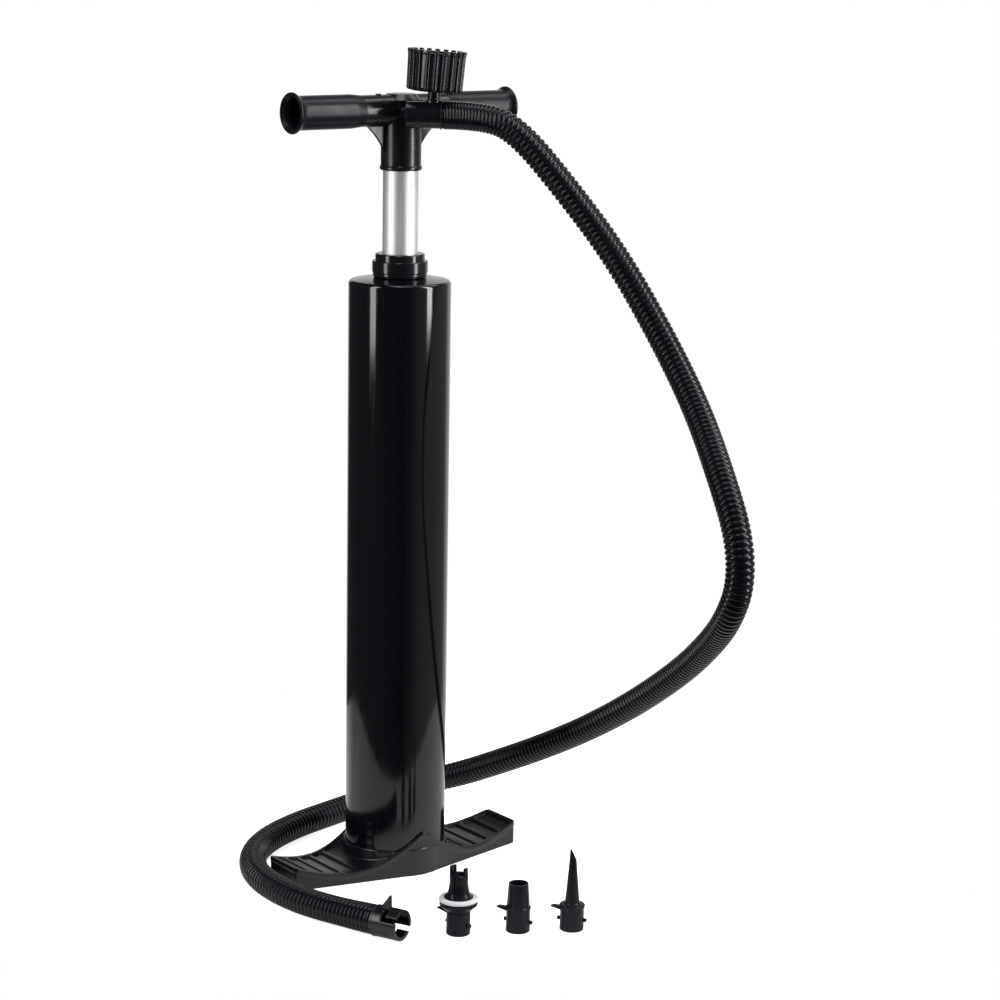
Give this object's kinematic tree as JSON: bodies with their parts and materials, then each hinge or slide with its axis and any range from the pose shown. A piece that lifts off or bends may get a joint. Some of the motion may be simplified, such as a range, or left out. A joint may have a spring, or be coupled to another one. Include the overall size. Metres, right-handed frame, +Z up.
{
  "type": "hand-operated double-action air pump",
  "caption": "Upright hand air pump with a foot stand, T-handle, pressure gauge, corrugated hose and push-and-twist nozzle adaptors.",
  "frame": {"origin": "on the barrel's axis at the floor plane the stand rests on", "axes": "+Z up along the barrel, X along the handle and the foot plates, -Y towards the outlet and gauge"},
  "size_m": [0.3474, 0.4937, 0.7346],
  "materials": {
    "satin_black": "satin moulded",
    "gloss_black": "polished",
    "steel": "zinc plated",
    "aluminium": "polished, drawn along its length",
    "rubber": "matt",
    "bush": "natural acetal",
    "grip_black": "satin moulded",
    "gauge_black": "semi-gloss",
    "brass": "turned",
    "dial": "printed",
    "needle_red": "painted",
    "clear": "clear",
    "hose_black": "semi-gloss",
    "adaptor_grey": "satin moulded",
    "gasket_grey": "matt"
  },
  "bodies": {
    "stand": {"base": "satin_black", "base_screws": "steel", "barrel": "gloss_black", "bottom_cap": "satin_black", "bottom_cap_seal": "rubber", "intake_valve": "rubber", "collar": "satin_black", "rod_bush": "bush", "rod_seal": "rubber", "valve_retainer": "steel", "hose_tube": "hose_black", "hose_end_fitting": "satin_black"},
    "top_valve": {"top_intake_valve": "bush"},
    "plunger": {"piston_rod": "aluminium", "piston_lower": "satin_black", "piston_upper": "satin_black", "piston_seal": "rubber", "piston_flap": "rubber", "rod_sleeve_valve": "rubber", "handle": "satin_black", "grub_screw": "steel", "grip_left": "grip_black", "grip_right": "grip_black", "outlet_body": "satin_black", "hose_cuff": "satin_black", "gauge_stem": "satin_black", "gauge_case": "gauge_black", "gauge_movement": "brass", "gauge_dial": "dial", "gauge_lens": "clear", "gauge_bezel": "gauge_black"},
    "needle": {"gauge_needle": "needle_red"},
    "boat_valve_nozzle": {"valve_adaptor": "adaptor_grey", "valve_adaptor_gasket": "gasket_grey"},
    "straight_nozzle": {"straight_adaptor": "adaptor_grey"},
    "pointed_nozzle": {"pointed_adaptor": "adaptor_grey"}
  },
  "joints": [
    {"name": "plunger_slide", "type": "slide", "parent": "stand", "child": "plunger", "axis": [0, 0, 1], "range_m": [-0.072, 0.38], "deforming": ["hose_tube"]},
    {"name": "top_valve_lift", "type": "slide", "parent": "stand", "child": "top_valve", "axis": [0, 0, 1], "range_m": [0, 0.0019]},
    {"name": "needle_turn", "type": "hinge", "parent": "plunger", "child": "needle", "pos_m": [0.00773, -0.04102, 0.72369], "axis": [-0.0572, 0.0399, -0.9976], "range_deg": [0, 270], "stiffness_Nm_per_rad": 0.001},
    {"name": "boat_valve_nozzle_lift", "type": "slide", "parent": "stand", "child": "boat_valve_nozzle", "axis": [0, 0, 1], "range_m": [0, 0.1]},
    {"name": "straight_nozzle_lift", "type": "slide", "parent": "stand", "child": "straight_nozzle", "axis": [0, 0, 1], "range_m": [0, 0.1]},
    {"name": "pointed_nozzle_lift", "type": "slide", "parent": "stand", "child": "pointed_nozzle", "axis": [0, 0, 1], "range_m": [0, 0.1]}
  ]
}
